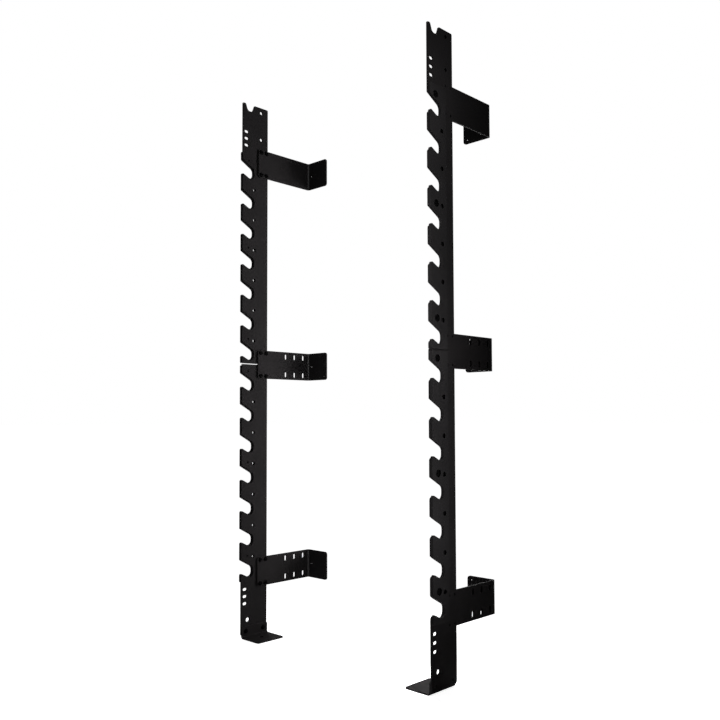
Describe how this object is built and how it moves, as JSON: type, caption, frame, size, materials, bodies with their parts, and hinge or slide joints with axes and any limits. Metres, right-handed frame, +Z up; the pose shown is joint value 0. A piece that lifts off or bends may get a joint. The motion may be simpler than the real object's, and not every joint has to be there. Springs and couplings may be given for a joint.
{
  "type": "barbell storage rack",
  "caption": "Wall-mounted pair of tall toothed uprights that hold barbells level one above another in side hooks and top cradles.",
  "frame": {"origin": "on the floor, below the middle of the rack's overall box", "axes": "+Z up along the uprights, +Y towards the wall, +X towards the right upright as seen from the front, where the hooks open"},
  "size_m": [0.914, 0.334, 1.998],
  "materials": {
    "black_steel": "satin black powder coat",
    "black_plastic": "matte black",
    "screw_steel": "black oxide"
  },
  "bodies": {
    "root": {"left_upper_plate": "black_steel", "left_upper_liner": "black_plastic", "left_upper_liner_screw_1": "screw_steel", "left_upper_liner_screw_2": "screw_steel", "left_upper_liner_screw_3": "screw_steel", "left_lower_plate": "black_steel", "left_lower_liner": "black_plastic", "left_lower_liner_screw_1": "screw_steel", "left_lower_liner_screw_2": "screw_steel", "left_lower_liner_screw_3": "screw_steel", "left_upper_bracket": "black_steel", "left_upper_bracket_screw_1": "screw_steel", "left_upper_bracket_screw_2": "screw_steel", "left_upper_bracket_screw_3": "screw_steel", "left_upper_bracket_screw_4": "screw_steel", "left_middle_bracket": "black_steel", "left_middle_bracket_screw_1": "screw_steel", "left_middle_bracket_screw_2": "screw_steel", "left_middle_bracket_screw_3": "screw_steel", "left_middle_bracket_screw_4": "screw_steel", "left_lower_bracket": "black_steel", "left_lower_bracket_screw_1": "screw_steel", "left_lower_bracket_screw_2": "screw_steel", "left_lower_bracket_screw_3": "screw_steel", "left_lower_bracket_screw_4": "screw_steel", "left_foot": "black_steel", "left_foot_screw_1": "screw_steel", "left_foot_screw_2": "screw_steel", "right_upper_plate": "black_steel", "right_upper_liner": "black_plastic", "right_upper_liner_screw_1": "screw_steel", "right_upper_liner_screw_2": "screw_steel", "right_upper_liner_screw_3": "screw_steel", "right_lower_plate": "black_steel", "right_lower_liner": "black_plastic", "right_lower_liner_screw_1": "screw_steel", "right_lower_liner_screw_2": "screw_steel", "right_lower_liner_screw_3": "screw_steel", "right_upper_bracket": "black_steel", "right_upper_bracket_screw_1": "screw_steel", "right_upper_bracket_screw_2": "screw_steel", "right_upper_bracket_screw_3": "screw_steel", "right_upper_bracket_screw_4": "screw_steel", "right_middle_bracket": "black_steel", "right_middle_bracket_screw_1": "screw_steel", "right_middle_bracket_screw_2": "screw_steel", "right_middle_bracket_screw_3": "screw_steel", "right_middle_bracket_screw_4": "screw_steel", "right_lower_bracket": "black_steel", "right_lower_bracket_screw_1": "screw_steel", "right_lower_bracket_screw_2": "screw_steel", "right_lower_bracket_screw_3": "screw_steel", "right_lower_bracket_screw_4": "screw_steel", "right_foot": "black_steel", "right_foot_screw_1": "screw_steel", "right_foot_screw_2": "screw_steel", "right_hole_plug_1": "black_plastic", "right_hole_plug_2": "black_plastic"}
  },
  "joints": []
}
